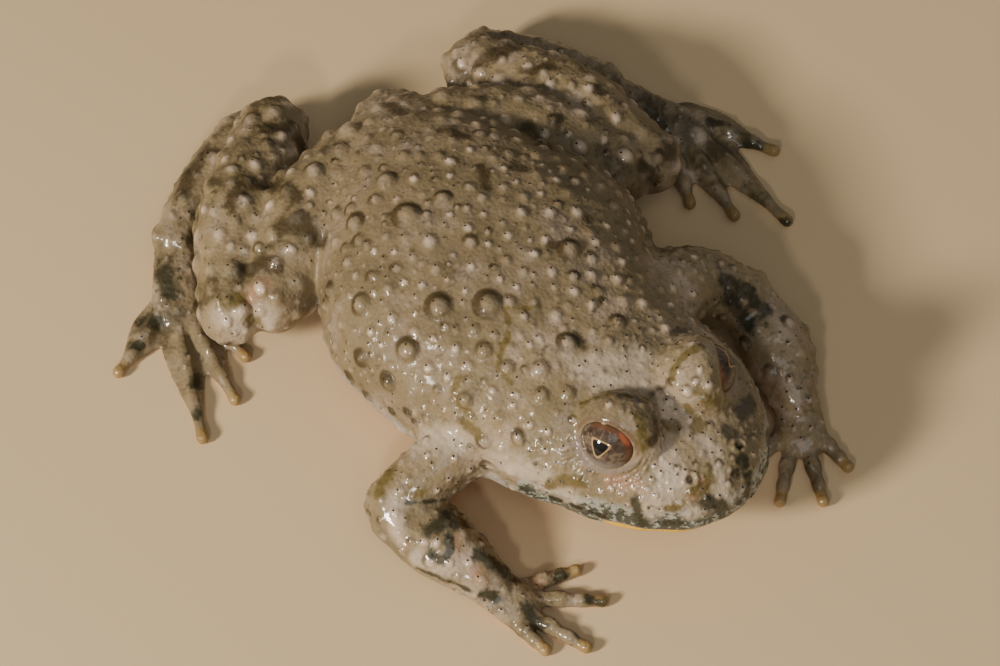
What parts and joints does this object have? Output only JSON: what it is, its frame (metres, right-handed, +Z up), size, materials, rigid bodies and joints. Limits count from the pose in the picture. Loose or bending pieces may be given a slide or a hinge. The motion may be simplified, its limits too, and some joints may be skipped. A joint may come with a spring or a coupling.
{
  "type": "fire-bellied toad (yellow-bellied kind), still life-size model",
  "caption": "Small warty toad sitting low with its head turned to its left, its hind legs folded and its hands spread, made as a still museum-style model.",
  "frame": {"origin": "on the floor at the middle of the belly's flat, under the ribs", "axes": "+Z up, the snout points along -Y and the toad's left is +X"},
  "size_m": [0.0552, 0.0538, 0.0144],
  "materials": {
    "skin": "wet warty skin, sandy brown above and mottled yellow-orange and slate below",
    "lower_jaw": "wet smooth skin, yellow-orange with dark patches",
    "eye": "clear wet cornea over a bronze iris and a black pupil"
  },
  "bodies": {
    "root": {"eye_L": "eye", "eye_R": "eye", "finger_1_L": "skin", "finger_1_R": "skin", "finger_2_L": "skin", "finger_2_R": "skin", "finger_3_L": "skin", "finger_3_R": "skin", "finger_4_L": "skin", "finger_4_R": "skin", "foot_L": "skin", "foot_R": "skin", "forearm_L": "skin", "forearm_R": "skin", "hand_L": "skin", "hand_R": "skin", "head": "skin", "lower_jaw": "lower_jaw", "shank_L": "skin", "shank_R": "skin", "tarsus_L": "skin", "tarsus_R": "skin", "thigh_L": "skin", "thigh_R": "skin", "toe_1_L": "skin", "toe_1_R": "skin", "toe_2_L": "skin", "toe_2_R": "skin", "toe_3_L": "skin", "toe_3_R": "skin", "toe_4_L": "skin", "toe_4_R": "skin", "toe_5_L": "skin", "toe_5_R": "skin", "torso": "skin", "upper_arm_L": "skin", "upper_arm_R": "skin"}
  },
  "joints": []
}
